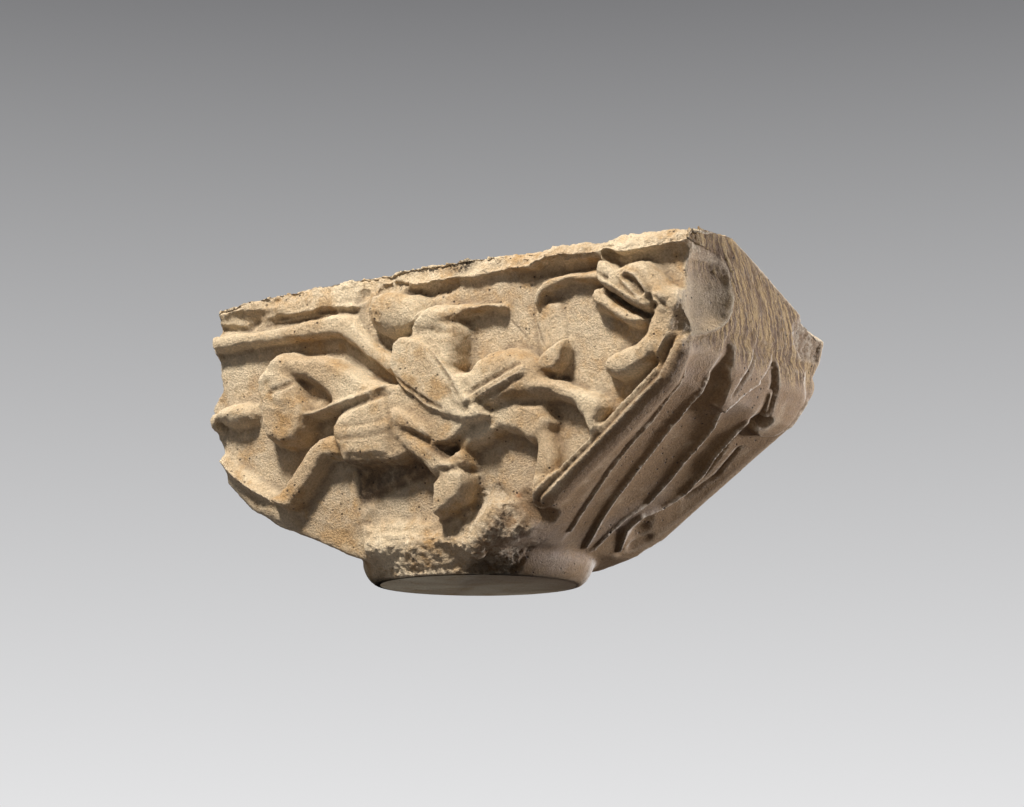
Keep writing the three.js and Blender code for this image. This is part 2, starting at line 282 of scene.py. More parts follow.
def pathField(u, v, rows, profile):
    # the height that a row of places (across, up, half width, height) gives at every point near it
    table = np.array(rows, float)
    wide = table[:, 2].max()
    low, high = table[:, :2].min(0) - wide, table[:, :2].max(0) + wide
    near = np.nonzero((u > low[0]) & (u < high[0]) & (v > low[1]) & (v < high[1]))[0]
    field = np.zeros(len(near))
    inside = np.zeros(len(near), bool)
    pu, pv = u[near], v[near]
    for (u0, v0, w0, h0), (u1, v1, w1, h1) in zip(rows[:-1], rows[1:]):
        du, dv = u1 - u0, v1 - v0
        t = np.clip(((pu - u0) * du + (pv - v0) * dv) / max(du * du + dv * dv, 1e-9), 0, 1)
        q = np.hypot(pu - u0 - t * du, pv - v0 - t * dv) / (w0 + (w1 - w0) * t)
        here = profile(np.clip(q, 0, 1)) * (h0 + (h1 - h0) * t)
        better = (q < 1) & ((np.abs(here) > np.abs(field)) | ~inside)
        field[better] = here[better]
        inside |= q < 1
    return near, inside, field


def edgeDistance(u, v, outline):
    # distance to an outline, positive inside it
    corners = np.array(outline, float)
    inside = np.zeros(len(u), bool)
    distance = np.full(len(u), 1e9)
    for (u0, v0), (u1, v1) in zip(corners, np.roll(corners, -1, 0)):
        du, dv = u1 - u0, v1 - v0
        t = np.clip(((u - u0) * du + (v - v0) * dv) / (du * du + dv * dv), 0, 1)
        distance = np.minimum(distance, np.hypot(u - u0 - t * du, v - v0 - t * dv))
        if dv:
            inside ^= ((v0 > v) != (v1 > v)) & (u < du * (v - v0) / dv + u0)
    return np.where(inside, distance, -distance)


def softMax(a, b, k):
    return (a + b + np.sqrt((a - b) ** 2 + k * k)) / 2


def raiseTo(u, v, out, rows, k=1.2):
    near, inside, field = pathField(u, v, rows, dome)
    chosen = near[inside]
    edge = np.clip(np.abs(field[inside]) / 3, 0, 1)
    out[chosen] = np.maximum(out[chosen], softMax(out[chosen], field[inside], k) - k / 2 * edge)


def raiseForm(u, v, out, outline, height, shoulder):
    # a flat-topped form with rounded shoulders
    q = 1 - np.clip(edgeDistance(u, v, outline) / shoulder, 0, 1)
    form = height * (1 - q ** 2.3) ** 0.55
    out[:] = np.where(q < 1, np.maximum(out, form), out)


def addTo(u, v, out, rows, profile=swell):
    near, inside, field = pathField(u, v, rows, profile)
    out[near] += field


def noiseAt(points, size, seed):
    # smooth random field on a lattice of the given spacing, from -1 to 1
    table = np.random.default_rng(seed).uniform(-1, 1, 4096)
    grid = points / size
    base = np.floor(grid).astype(np.int64)
    part = grid - base
    part = part * part * (3 - 2 * part)
    total = np.zeros(len(points))
    for i in (0, 1):
        for j in (0, 1):
            for k in (0, 1):
                key = (base[:, 0] + i) * 73856093 ^ (base[:, 1] + j) * 19349663 ^ (base[:, 2] + k) * 83492791
                weight = np.abs(1 - i - part[:, 0]) * np.abs(1 - j - part[:, 1]) * np.abs(1 - k - part[:, 2])
                total += table[key & 4095] * weight
    return total


def roughness(points, rows):
    # random fields added up; each row has a height, a grain size in millimetres and a seed
    return sum(height * noiseAt(points, size, seed) for height, size, seed in rows)


def bowls(points, size, seed):
    # scooped chips side by side: 1 in the middle of each, with sharp borders between neighbours
    table = np.random.default_rng(seed).uniform(0.08, 0.92, (4096, 3))
    grid = points / size
    base = np.floor(grid).astype(np.int64)
    nearest = np.full(len(points), 9.0)
    for i in (-1, 0, 1):
        for j in (-1, 0, 1):
            for k in (-1, 0, 1):
                cell = base + np.array([i, j, k])
                key = cell[:, 0] * 73856093 ^ cell[:, 1] * 19349663 ^ cell[:, 2] * 83492791
                gap = grid - cell - table[key & 4095]
                nearest = np.minimum(nearest, (gap * gap).sum(1))
    return np.clip(1 - nearest / 0.8, 0, 1)


def remeshed(source, name, size):
    # a closed skin of even quads over everything in the source mesh
    holder = inScene(name, source)
    modifier = holder.modifiers.new("skin", "REMESH")
    modifier.mode = "VOXEL"
    modifier.voxel_size = size * mm
    result = bpy.data.meshes.new_from_object(holder.evaluated_get(bpy.context.evaluated_depsgraph_get()))
    bpy.data.objects.remove(holder)
    return result


# the solid's own skin, closed up, is the block that the carving starts from
stoneStart = {"weld": 0.01, "skin": 1.5, "rounds": 10, "neckRounds": 24, "leafRounds": 40}


def roughOut():
    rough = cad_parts["capital"].data.copy()
    shell = bmesh.new()
    shell.from_mesh(rough)
    bmesh.ops.remove_doubles(shell, verts=shell.verts, dist=stoneStart["weld"] * mm)
    shell.to_mesh(rough)
    shell.free()
    clay = Clay(remeshed(rough, "roughed out stone", stoneStart["skin"]))
    clay.soften(stoneStart["rounds"])
    # the neck runs into the sloping end in one smooth sweep
    x, y, z = clay.points.T
    sweep = spread(x, 22, 40) * falling(y, -20, -5) * spread(z, 16, 24) * falling(z, 36, 50)
    clay.soften(stoneStart["neckRounds"], sweep)
    # the top of the leaf is laid bare for its curled tips
    x, y, z = clay.points.T
    bare = spread(clay.slope()[0], 112, 126) * spread(x, 160, 172) * falling(z, 138, 150)
    clay.soften(stoneStart["leafRounds"], bare * spread(y, -58, -46) * falling(y, 84, 98))
    return clay


clay = roughOut()
print("roughed out", len(clay.points))


# the relief of the long panel, in millimetres: each form has an outline (across, up), a height over the
# ground and the width of its rounded shoulder; a path has rows of across, up, half width and height
panelEdge = [(-163, 186), (-145, 191), (-113, 189), (-81, 188), (-38, 189), (-31, 196), (-22, 192),
    (-2, 200), (6, 192), (13, 191), (29, 191), (49, 191), (70, 193), (76, 197), (105, 194), (123, 196),
    (138, 189), (154, 187), (164, 196), (190, 190), (224, 190), (226, 172), (214, 146), (198, 122),
    (150, 84), (98, 46), (88, 44), (60, 46), (30, 36), (-34, 36), (-64, 36), (-112, 55), (-140, 72),
    (-155, 86), (-163, 100), (-163, 140)]
horse = {
    "secondForeleg": ([(-40, 80), (-51, 78), (-55, 60), (-62, 38), (-46, 38), (-34, 46), (-28, 66)],
        1.4, 4),
    "farThigh": ([(40, 78), (49, 75), (56, 80), (68, 85), (79, 89), (90, 85), (98, 79), (112, 82),
        (117, 92), (113, 106), (90, 110), (60, 108), (42, 100)], 13.5, 7),
    "farShank": ([(98, 92), (102, 79), (100, 69), (98, 60), (108, 56), (117, 59), (118.5, 66), (117, 76),
        (114, 90)], 12.5, 6.5),
    "farHoof": ([(98, 62), (96, 54), (95, 47), (98, 41), (107, 38), (112, 44), (114.5, 54), (118, 62)],
        12.5, 5.5),
    "bellySide": ([(-48, 82), (-47, 68), (-44, 54), (-32, 57), (-18, 61), (-4, 65), (14, 70), (44, 75),
        (46, 88)], 4, 5),
    "throat": ([(-86, 150), (-70, 152), (-52, 142), (-46, 126), (-54, 114), (-78, 110), (-84, 124)], 9, 9),
    "body": ([(-50, 113), (-55, 104), (-53, 92), (-47, 76), (-38, 74), (-22, 73), (-2, 73), (20, 80),
        (44, 82), (58, 92), (70, 104), (62, 132), (20, 132), (-20, 126)], 20, 6),
    "breast": ([(-50, 111), (-54.5, 103), (-52, 92), (-46, 79), (-30, 77), (-4, 77), (0, 100), (-6, 124),
        (-28, 119), (-42, 114)], 23, 7),
    "rump": ([(54, 130), (62, 139), (74, 144), (88, 145), (100, 142), (109, 135), (114, 124), (122, 119),
        (126, 112), (120, 106), (107, 105), (91, 105), (74, 102), (60, 104), (50, 116)], 21.5, 14),
    "nearHind": ([(100, 122), (112, 122), (124, 120), (137, 114), (149, 109), (156, 104), (158, 97),
        (154, 90), (150, 80), (145, 74), (141, 84), (139, 93), (133, 101), (121, 106), (107, 106),
        (96, 108)], 15.5, 6.5),
    "neck": ([(-104, 160), (-96, 162), (-84, 158), (-67, 157), (-50, 152), (-35, 143), (-19, 133),
        (-6, 129), (-6, 112), (-30, 108), (-46, 108), (-54, 113), (-58, 121), (-65, 129), (-76, 136),
        (-94, 140), (-104, 144)], 19, 8),
    "head": ([(-98, 161), (-108, 155), (-118, 147), (-121, 136), (-118, 125), (-119, 110), (-114, 99),
        (-101, 92.5), (-86, 95), (-79, 103), (-76, 112), (-76, 121), (-79, 130), (-82, 140), (-88, 148),
        (-92, 156)], 20, 8),
    "foreleg": ([(-46, 101), (-53, 101), (-69, 99.5), (-80, 93.5), (-92, 80), (-103, 69), (-116, 60),
        (-114, 53), (-106, 48), (-99, 50), (-90, 56), (-81, 65), (-72, 75.5), (-66, 82), (-48, 82)],
        15, 6.5),
}
rein = [(-113, 122, 3.2, 20.5), (-101, 120, 3.4, 22), (-92, 116, 3.4, 21.5), (-80, 114.5, 3.4, 18),
    (-68, 115.5, 3.6, 18), (-52, 118, 3.8, 22), (-33, 121, 4, 23), (-7, 126, 4, 23)]
ball = ([(-166, 121), (-162, 128), (-153, 131), (-140, 132), (-131, 129), (-127, 122), (-129, 115),
    (-138, 111.5), (-150, 112), (-161, 116)], 14.5, 11)
rider = {
    "lance": ([(-172, 181), (-130, 180), (-90, 181.5), (-52, 184), (-40, 181), (-28, 168), (-16, 155),
        (-2, 146), (-2, 137), (-12, 136), (-23, 145), (-35, 155), (-45, 163), (-54, 167), (-90, 168),
        (-130, 168), (-172, 167)], 11.5, 5),
    "torso": ([(12, 172), (30, 176), (44, 173), (50, 166), (53.5, 158), (52.5, 148), (50.5, 138),
        (46, 128), (30, 128), (10, 150)], 19, 10),
    "arm": ([(20, 176), (30, 179.5), (45, 179), (60, 177.5), (83, 176), (85.5, 172.5), (83, 169),
        (70, 170.5), (58, 169.5), (46, 165), (30, 160), (20, 166)], 11.5, 5),
    "shoulder": ([(10, 168), (20, 177), (34, 180), (46, 177), (52, 170), (48, 162), (34, 158), (16, 158)],
        20.5, 9),
    "shield": ([(8, 160), (2, 156), (-1, 148), (-3, 141), (-1, 131), (7, 121), (19, 111), (31, 104),
        (43, 98), (56, 94), (67, 95), (75, 99), (66, 110), (57, 122), (49, 132), (41, 143), (34, 151),
        (24, 158)], 24, 4),
    "thigh": ([(-8, 112), (0, 116), (10, 113.5), (18, 108.5), (29, 100.5), (34, 93.5), (31, 86), (23, 83),
        (12, 88), (0, 92), (-8, 98)], 25, 10),
    "shin": ([(-10, 108), (-6, 112), (4, 106), (17, 94), (28, 86.5), (40, 76.5), (46, 71.5), (45, 64),
        (34, 61), (25, 62), (14, 72), (4, 80), (-6, 90), (-10, 100)], 22.5, 8),
    "spur": ([(35, 76), (46, 80.5), (52, 77), (54, 69), (46, 65), (38, 68)], 18, 4),
    "foot": ([(45, 70), (54, 64.5), (53.5, 55), (48, 46), (35, 38), (23, 32.5), (20, 41), (22, 51),
        (23, 60), (32, 68)], 20, 6.5),
}
# the worn head is a plain ovoid
riderHead = [(-8, 180.5, 18.5, 18.5), (-2, 178, 19, 19.6), (8, 175.5, 16, 18.6)]
beast = {
    "tail": ([(162, 187), (136, 188.5), (123, 187.5), (114, 185.5), (107, 179), (104, 170), (110, 168),
        (114, 175), (125, 178.5), (134, 181), (142, 179), (162, 176.5)], 9.5, 4.5),
    "tailScar": ([(106, 172), (103, 164), (104, 150), (108, 138), (122, 140), (126, 148), (125, 159),
        (123, 171)], 3, 4),
    "tailStub": ([(107, 131), (112, 138), (121, 143), (130, 147.5), (132, 139), (128, 130), (122, 123.5),
        (112, 124)], 14, 3.5),
    "neck": ([(226, 165), (230, 152), (222, 140), (206, 126), (196, 122), (188, 130), (186, 138),
        (192, 151), (200, 160)], 15, 9),
    "paw": ([(190, 143), (182, 137), (167, 133), (160, 130.5), (156, 125), (157.5, 118), (168, 112.5),
        (178, 114.5), (191, 120), (200, 126), (204, 140)], 16, 8),
    "skull": ([(168, 184), (176, 187), (182, 189), (190, 189), (197, 185), (203, 178), (209, 171),
        (216, 167), (227, 163), (226, 150), (212, 146), (200, 148), (194, 154), (198, 158), (188, 166),
        (176, 176)], 17, 8),
    "upperJaw": ([(157, 181), (160, 197), (169, 187.5), (180, 180), (190, 170), (198, 160), (196, 154.5),
        (191, 153.5), (182, 158.5), (170, 166.5), (158, 177)], 17.5, 4),
    "lowerJaw": ([(153.5, 175), (149.5, 168), (153, 161), (163.5, 155), (174, 148), (183, 144.5),
        (190, 147), (193, 152), (182, 157), (170, 165), (159, 175.5)], 14.5, 6),
    "smallEar": ([(196, 164), (201, 167), (208, 167), (214, 161), (206, 154), (198, 157)], 19.5, 4),
}
# the ground swells a little, outlines wobble, and the upper edge of the panel is ragged
panelNoise = {"ground": [(0.5, 24, 5)], "wobble": [(0.8, 9, 6)], "ragged": [(2.2, 13, 7), (1.2, 5, 8)]}
panelPlace = {"raggedFrom": 180, "ramp": 2, "lowest": -4, "before": -50}


def carvePanel(clay):
    x, z, out = clay.panel()
    relief = roughness(clay.points, panelNoise["ground"])
    wobble = roughness(clay.points, panelNoise["wobble"])
    for form in [*horse.values(), *beast.values(), ball, *rider.values()]:
        raiseForm(x + wobble, z + wobble, relief, *form)
        if form is horse["foreleg"]:
            raiseTo(x, z, relief, rein)
        if form is rider["shoulder"]:
            raiseTo(x, z, relief, riderHead)
    ragged = roughness(clay.points, panelNoise["ragged"]) * (z > panelPlace["raggedFrom"])
    onPanel = spread(edgeDistance(x, z + ragged, panelEdge), 0, panelPlace["ramp"])
    onPanel *= (out > panelPlace["lowest"]) & (clay.points[:, 1] < panelPlace["before"])
    clay.setPanel(out + (relief - out) * onPanel, np.where(onPanel > 0, 1.0, 0.0))


# broad dips and rises that shape the forms, and the broken edge over them
broadDips = {
    "underThroat": [(-66, 129, 4, -1), (-74, 127, 5, -2), (-80, 128, 4, -1)],
    "wedge": [(6, 192, 3, -2), (20, 189, 4, -3.5), (34, 190, 3, -2.5), (44, 193, 3, -1.5)],
    "overLance": [(-160, 186, 3, -3), (-138, 183, 3, -4), (-128, 187, 3, -2)],
    "cornerPit": [(-38, 190, 3, -3), (-32, 196, 3, -4)],
    "recess": [(104, 191, 4, -2), (128, 193, 5, -4), (150, 192, 5, -4), (160, 193, 4, -3)],
    "footShade": [(22, 15, 5, -4), (34, 9, 7, -8), (42, 4, 6, -6)],
    "cove": [(88, 46, 8, -3), (99, 34, 13, -8), (104, 20, 14, -9)],
}
broadRises = {
    "cheek": [(-98, 140, 9, 2), (-95, 126, 8, 2.5)],
    "poll": [(-100, 152, 7, 2), (-84, 150, 6, 1)],
    "leftBlock": [(-158, 198, 12, 3), (-128, 200, 12, 3)],
    "upperMass": [(-100, 200, 14, 3), (-60, 202, 14, 4), (-44, 203, 12, 4)],
    "shelf": [(-4, 201, 5, 2), (13, 196, 5, 3), (40, 196, 5, 3), (70, 198, 6, 2)],
    "leftRim": [(-164, 93, 7, 6), (-148, 80, 8, 8), (-132, 69, 8, 9), (-116, 60, 7, 5), (-96, 50, 6, 3)],
    "footTriangle": [(60, 50, 9, 3), (62, 34, 16, 4), (66, 16, 15, 4)],
}
# a rough mass fills the front of the neck up to the panel
footMass = {
    "outline": [(-50, 40), (-50, 24), (-42, 12), (-24, 5), (30, 4), (58, 7), (84, 20), (88, 38), (70, 50),
                (30, 42)],
    "ramp": 9, "height": 4, "wobble": [(3, 7, 4)], "lumps": [(2.2, 21, 9), (1.2, 8, 10)],
}


def shapePanel(clay):
    x, z, out = clay.panel()
    for rows in [*broadDips.values(), *broadRises.values()]:
        addTo(x, z, out, rows)
    wobble = roughness(clay.points, footMass["wobble"])
    filled = spread(edgeDistance(x + wobble, z + wobble, footMass["outline"]), 0, footMass["ramp"])
    mass = footMass["height"] + roughness(clay.points, footMass["lumps"])
    out = np.maximum(out, out + (mass - out) * filled)
    clay.setPanel(out, clay.facingFront())
    clay.soften(1)


carvePanel(clay)
shapePanel(clay)
print("panel carved")

# the leaf on the sloping end: each rib is a line of places (along, across), with a flute between two ribs,
# and a curl is an outline of such places
leafBase = {"along": [-44, -19.4, 0, 132, 156.6, 175, 200], "height": [-10.7, -0.8, 0, 0, -9.2, -19.1, -34]}
ribs = [
    ([-20, -3, 20, 55, 80, 100, 121, 140, 161, 176], [-26, -34, -45, -60, -67, -70, -78, -82, -84, -86]),
    ([-15, 11, 33, 46, 61, 79, 93, 108, 122, 132, 142, 160],
        [3, -12, -22, -26, -31, -36, -41, -44, -48, -49, -51, -50]),
    ([-15, 1, 18, 34, 58, 75, 94, 110, 124, 160], [15, 12, 14, 21, 17, 12, 8, 3, -8, -10]),
    ([-12, 8, 22, 33, 49, 70, 86, 106, 122, 160], [47, 29, 31, 44, 51, 49, 40, 35, 34, 30]),
    ([-20, 0, 40, 90, 130, 170], [66, 74, 79, 83, 87, 92]),
]
flutes = [
    ([-15, 0, 30, 60, 100, 138, 160], [1, 2, 2.6, 3, 3.6, 4, 2]),
    ([-5, 10, 30, 60, 100, 126, 142, 160], [0, 2, 4, 6, 8, 9, 7, 2]),
    ([-15, 0, 20, 34, 60, 100, 116, 132], [1, 2.6, 3.4, 4.4, 5.6, 5.8, 4.6, 2]),
    ([-12, 0, 20, 50, 100, 120, 140], [1, 3, 4, 5, 5, 4, 2]),
]
curls = [
    [(168, -42), (151, -34), (142, -24), (125, -18), (124, -9), (134, -5), (143, 4), (150, 13), (168, 20)],
    [(168, 24), (146, 36), (131, 45), (117, 51), (114, 62), (117, 74), (128, 84), (150, 88), (168, 70)],
]
leafMarks = {
    "drilled": [(122, 44, 6, -8), (127, 50, 6.5, -11)],
    "overDrilled": [(134, 44, 4, -2.4), (148, 37, 4, -2.4), (160, 28, 3.5, -1.6)],
    "curlVein": [(165, -8, 3, -2), (150, -12, 3, -2.5), (138, -14, 2.5, -1.5)],
    "dish": [(8, 51, 12, -3.5), (14, 49, 9, -2.5)],
    "dishEnd": [(-6, 60, 7, -2.5), (2, 66, 7, -2)],
    "thirdGroove": [(110, 9, 3, -2), (88, 15, 3.5, -3), (64, 23, 3.5, -3), (40, 28, 3, -2)],
    "fourthGroove": [(100, 48, 3, -1.5), (84, 56, 3, -2), (66, 62, 3, -1.5)],
    "innerGroove": [(96, 66, 3, -1.5), (70, 72, 3, -1.5), (44, 66, 3, -1.2)],
}
fluteForm = {"lean": 0.7, "fullness": 0.8}  # the deepest line lies near the rib on its left
curlForm = {"shoulder": 7, "lift": 0.5, "height": 3}
# where the leaf starts beside the roll, and its ends along and across the slope
rollEdge = ([-20, 18, 68, 101, 126, 160], [-50, -72, -76, -79, -84, -92])
leafEnds = {"ramp": 5, "back": (84, 92), "foot": (-24, -14), "head": (166, 178), "deepest": 22, "from": 60,
            "softTips": (108, 120), "softRounds": 4}


def leafHeight(s, y):
    floorLine = np.interp(s, leafBase["along"], leafBase["height"])
    height = floorLine.copy()
    lines = [np.interp(s, *line) for line in ribs]
    for left, right, flute in zip(lines[:-1], lines[1:], flutes):
        t = np.clip((y - left) / np.maximum(right - left, 1), 0, 1)
        hollow = np.sin(np.pi * t ** fluteForm["lean"]) ** fluteForm["fullness"]
        height = np.where((y > left) & (y < right), floorLine - np.interp(s, *flute) * hollow, height)
    for outline in curls:
        q = 1 - np.clip(edgeDistance(s, y, outline) / curlForm["shoulder"], 0, 1)
        curl = floorLine + curlForm["lift"] + curlForm["height"] * np.sqrt(1 - q * q)
        height = np.where(q < 1, np.maximum(height, curl), height)
    return height


def carveLeaf(clay):
    s, y, rise = clay.slope()
    leaf = leafHeight(s, y)
    edge = np.interp(s, *rollEdge)
    onLeaf = spread(y, edge, edge + leafEnds["ramp"]) * falling(y, *leafEnds["back"])
    onLeaf *= spread(s, *leafEnds["foot"]) * falling(s, *leafEnds["head"])
    onLeaf *= (rise > leaf - leafEnds["deepest"]) & (clay.points[:, 0] > leafEnds["from"])
    clay.setSlope(rise + (leaf - rise) * onLeaf, np.where(onLeaf > 0, 1.0, 0.0))
    clay.soften(leafEnds["softRounds"], onLeaf * spread(s, *leafEnds["softTips"]))


# the corner over the scar stands out to the end face again
cornerBlock = {"x": (196, 206), "y": (-52, -40), "z": (189, 194), "facing": 0.1, "inset": 3, "most": 12,
               "share": 0.8, "rounds": 14, "blend": (0.01, 0.12)}


def buildCorner(clay):
    x, y, z = clay.points.T
    corner = spread(x, *cornerBlock["x"]) * falling(y, *cornerBlock["y"]) * spread(z, *cornerBlock["z"])
    corner *= clay.normals[:, 0] > cornerBlock["facing"]
    missing = np.clip(block["right"] - cornerBlock["inset"] - x, 0, cornerBlock["most"])
    clay.points[:, 0] += missing * corner * cornerBlock["share"]
    nearCorner = clay.averaged(corner, cornerBlock["rounds"])
    clay.soften(cornerBlock["rounds"], spread(nearCorner, *cornerBlock["blend"]))


carveLeaf(clay)
buildCorner(clay)
print("leaf carved")

stoneFinish = {"skin": 1.05, "rounds": 2, "triangles": 194000}
clay = Clay(remeshed(clay.mesh, "carved stone", stoneFinish["skin"]))
clay.soften(stoneFinish["rounds"])
print("skin", len(clay.points))

# the fine carving: raised lines, grooves and folds over the forms, as rows of across, up, half width, height
fineLines = {
    "browLine": [(-114, 141, 4, 1.2), (-108, 144, 4, 1.4), (-101, 144, 3, 1)],
    "breastStrap": [(-48, 98, 4, 0.7), (-30, 97, 4, 0.8), (-8, 99, 4, 0.7)],
    "saddleStrap": [(60, 110, 4, 2.2), (85, 119, 4.4, 2.4), (104, 126, 4.4, 2)],
    "chestFront": [(-52, 110, 4, 1.6), (-53, 102, 4, 2), (-50, 92, 4, 2), (-46, 80, 4, 1.2)],
    "shieldRib": [(35, 150, 3, 0.8), (42, 141, 3, 1), (50, 130, 3, 1), (58, 118, 3, 0.8)],
    "fillet": [(96, 44, 2.4, 2.2), (150, 85, 2.4, 2.2), (192, 117, 2.4, 2.2), (208, 138, 2.4, 2)],
    "rollLine": [(103, 41, 2.2, 1.4), (156, 80, 2.2, 1.4), (198, 112, 2.2, 1.4)],
    "eyeRing": [(177, 178, 2.6, 2.4), (183, 180, 2.8, 3), (189, 176.5, 2.8, 3), (193.5, 170, 2.6, 3),
        (195, 165, 2.6, 2.6), (191, 162, 2.4, 2.4), (186, 167.5, 2.4, 2.4), (180.5, 173.5, 2.4, 2.4),
        (177, 178, 2.4, 2.4)],
    "eyeBall": [(186, 173.5, 1.6, 1.6), (188.5, 170.5, 1.6, 1.6)],
    "upperLipLine": [(165, 176, 2, 1.2), (178, 168, 2, 1.4), (194, 157, 2, 1.2)],
    "browRidge": [(-24, 183, 2.4, 0.9), (-18, 180, 2.6, 1.1), (-8, 178, 2.6, 0.9)],
    "noseRidge": [(-18, 180, 2, 0.8), (-15, 174, 2.4, 1.4), (-13, 171, 2.6, 1.6)],
}
fineDips = {
    "cheekFold": [(-104, 132, 2.6, -1.4), (-92, 134, 2.6, -2), (-82, 139, 2.6, -1.4)],
    "reinShade": [(-56, 112, 2.4, -1), (-30, 116, 2.6, -1.4), (-4, 121, 2.4, -1)],
    "strapLow": [(-46, 93.5, 1.4, -0.6), (-24, 93, 1.4, -0.7), (-6, 95, 1.4, -0.6)],
    "strapHigh": [(-47, 102.5, 1.4, -0.4), (-26, 102, 1.4, -0.5), (-8, 103.5, 1.4, -0.4)],
    "saddleLow": [(58, 105.5, 2.4, -1), (84, 114.5, 2.6, -1.4), (102, 121, 2.6, -1)],
    "saddleHigh": [(64, 116.5, 2, -1.4), (85, 124, 2, -1.6), (100, 130, 2, -1.2)],
    "saddleMiddle": [(64, 111, 1.2, -0.9), (85, 119.5, 1.2, -1), (102, 126, 1.2, -0.9)],
    "rim": [(2, 133, 1.8, -1.8), (11, 124.5, 1.9, -2.2), (20, 118, 1.9, -2.2), (30, 111, 1.9, -2),
        (40, 106, 1.8, -1.2)],
    "shoulderFold": [(22, 160, 3, -1), (34, 159.5, 3.4, -1.6), (50, 156, 3, -1.2)],
    "neckFold": [(-2, 158, 2.4, -2), (8, 161, 2.4, -3), (18, 167, 2.4, -3), (26, 174, 2.2, -2)],
    "kneeFold": [(8, 95, 2.4, -1), (16, 92, 2.6, -1.6), (26, 86, 2.4, -1.2)],
    "shieldLine": [(31, 148, 1.6, -1.2), (37, 140, 1.6, -1.4), (45.5, 128, 1.6, -1.4), (54, 112, 1.6, -1)],
    "ankle": [(33, 67, 2, -0.7), (44, 66, 2, -0.7)],
    "headEdge": [(-26, 190, 2.2, -1), (-17, 197, 2.4, -1.8), (0, 198, 2.4, -1.6), (14, 192, 2.2, -1)],
    "hip": [(60, 103, 3, -1.2), (50, 108, 3, -1.4), (46, 118, 3, -1)],
    "eye": [(182.5, 176.5, 2, -1.6), (187, 172.5, 2.4, -2.4), (191.5, 167, 2, -2)],
    "cheekLine": [(197, 163, 2, -1.6), (203, 160, 2, -2), (209, 154, 2, -1.4)],
    "mouth": [(161, 173, 2, -3), (174, 163.5, 2.4, -5), (190, 153.5, 2.4, -3.5)],
    "earFold": [(161, 182, 1.4, -1.4), (168, 178, 1.6, -1.8)],
    "eyeSocket": [(-21, 179, 2.4, -0.9), (-18, 176, 2.2, -0.8)],
    "mouthLine": [(-15, 167, 1.5, -0.6), (-9, 166, 1.5, -0.7)],
    "rollGroove": [(100, 43, 1.5, -1.8), (154, 83, 1.5, -1.8), (196, 115, 1.5, -1.8),
        (211, 137, 1.5, -1.5)],
    "crackHigh": [(105, 158, 0.9, -1.2), (110, 144, 0.9, -1)],
    "crackArm": [(84, 164, 0.8, -0.8), (97, 150, 0.8, -0.8)],
    "toolMark": [(-109, 187, 1.4, -0.8), (-60, 187, 1.4, -0.9), (-40, 189, 1.4, -0.6)],
    "toolMarkLow": [(-120, 184, 1.2, -0.7), (-70, 184, 1.4, -0.8), (-44, 185, 1.2, -0.6)],
}
# sharp edges along the ribs and curls: half width and height, and how far they run along the slope
leafEdges = {"rib": (3, 2.2), "curl": (3, 2.8), "from": -16, "to": 150}
# the smooth scar at the near right corner is scooped out of the end face as part of a sphere
scar = {"centre": np.array([260.0, -86.0, 161.0]), "radius": 45.0, "rounds": 5, "softRim": (3, 9)}


def carveFine(clay):
    x, z, out = clay.panel()
    for rows in [*fineLines.values(), *fineDips.values()]:
        addTo(x, z, out, rows)
    clay.setPanel(out, clay.facingFront())
    s, y, rise = clay.slope()
    for rows in leafMarks.values():
        addTo(s, y, rise, rows)
    for line in ribs[:-1]:
        places = [place for place in zip(*line) if leafEdges["from"] < place[0] < leafEdges["to"]]
        addTo(s, y, rise, [(*place, *leafEdges["rib"]) for place in places], arris)
    for outline in curls:
        addTo(s, y, rise, [(*place, *leafEdges["curl"]) for place in outline[1:-1]], arris)
    clay.setSlope(rise, clay.facingSlope())


def scoopScar(clay):
    away = clay.points - scar["centre"]
    far = np.linalg.norm(away, axis=1)
    inside = far < scar["radius"]
    clay.points[inside] = scar["centre"] + away[inside] / far[inside][:, None] * scar["radius"]
    clay.soften(scar["rounds"], falling(np.abs(far - scar["radius"]), *scar["softRim"]))


carveFine(clay)
scoopScar(clay)
print("fine carving done")

# outlines of worn places, and of the painted shade under the horse's belly: across and up on the panel, or back
# and up on the end face
triangle = [(55, 56), (66, 57), (76, 50), (84, 36), (80, 18), (68, 4), (30, 4), (40, 30)]
knob = [(36, 168), (52, 177), (72, 176), (88, 168), (88, 148), (62, 150), (46, 156)]
# the belly outline is not worn: it bounds a painted shadow under the horse's belly
belly = [(-46, 80), (-46, 52), (-32, 55), (-4, 63), (16, 69), (44, 76), (46, 86), (0, 76)]
brokenShares = {"knob": 1, "endFace": 0.7, "brokenTop": 1, "foot": 1, "triangle": 1, "leftEdge": 0.5,
                "topFace": 0.35, "rimOfScar": 1}


